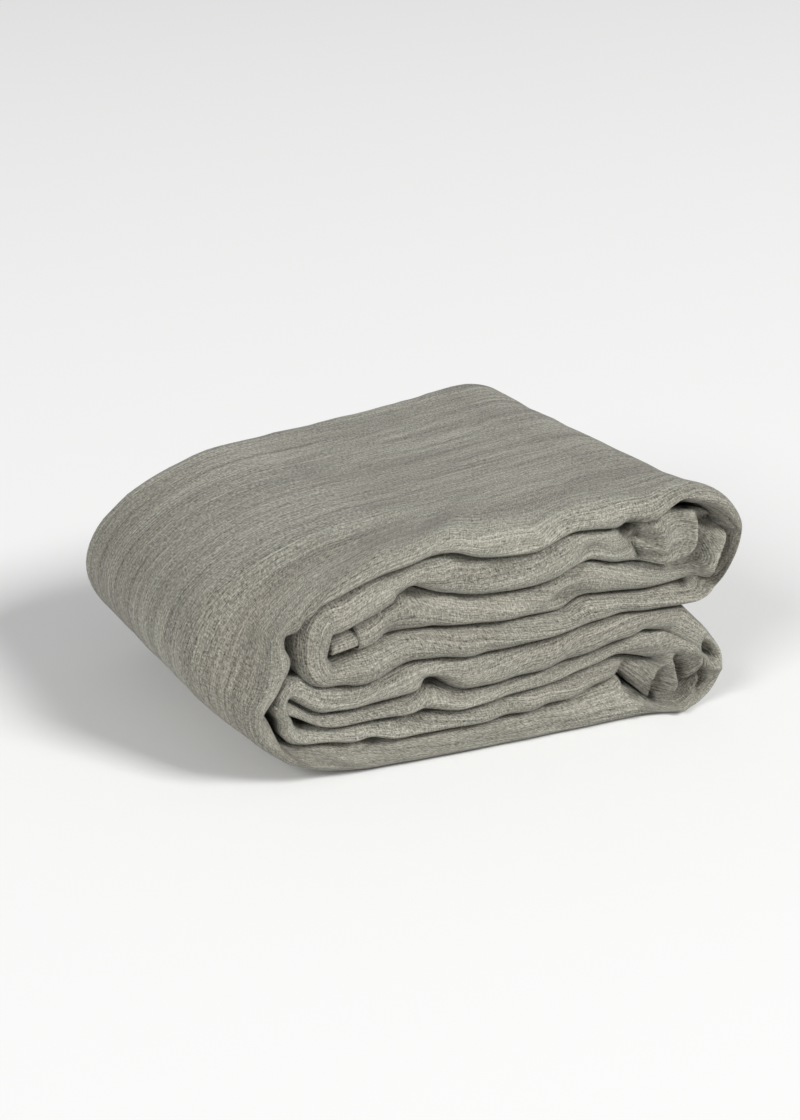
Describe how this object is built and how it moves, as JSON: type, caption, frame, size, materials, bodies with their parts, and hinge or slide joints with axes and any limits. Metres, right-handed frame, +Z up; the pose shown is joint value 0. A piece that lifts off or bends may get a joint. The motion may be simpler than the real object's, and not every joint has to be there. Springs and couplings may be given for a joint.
{
  "type": "folded duvet cover",
  "caption": "Button-closed cloth duvet cover folded for the shelf: a lengthwise-folded strip, rolled in from both ends and folded in half at a soft spine.",
  "frame": {"origin": "middle of the underside's bounding box, on the surface the cover rests on", "axes": "+X from the rounded spine to the two open lobes, +Y from the long front fold to the back edges, +Z up"},
  "size_m": [0.374, 0.295, 0.157],
  "materials": {
    "grey_melange_cloth": "matt yarn-dyed plain weave, washed and creased",
    "overlock_thread": "matt overlocked seam allowance",
    "cotton_tape": "matt woven tape",
    "label_satin": "soft satin, blank",
    "button_resin": "semi-gloss moulded resin"
  },
  "bodies": {
    "root": {"face_panel": "grey_melange_cloth", "back_panel": "grey_melange_cloth", "buttonhole_placket": "grey_melange_cloth", "button_placket": "grey_melange_cloth", "side_seam_left": "overlock_thread", "side_seam_right": "overlock_thread", "closed_end_seam": "overlock_thread", "corner_tie_open_left": "cotton_tape", "corner_tie_open_right": "cotton_tape", "corner_tie_closed_left": "cotton_tape", "corner_tie_closed_right": "cotton_tape", "care_label": "label_satin", "button_1": "button_resin", "button_2": "button_resin", "button_3": "button_resin", "button_4": "button_resin", "button_5": "button_resin", "button_6": "button_resin", "button_7": "button_resin"}
  },
  "joints": []
}
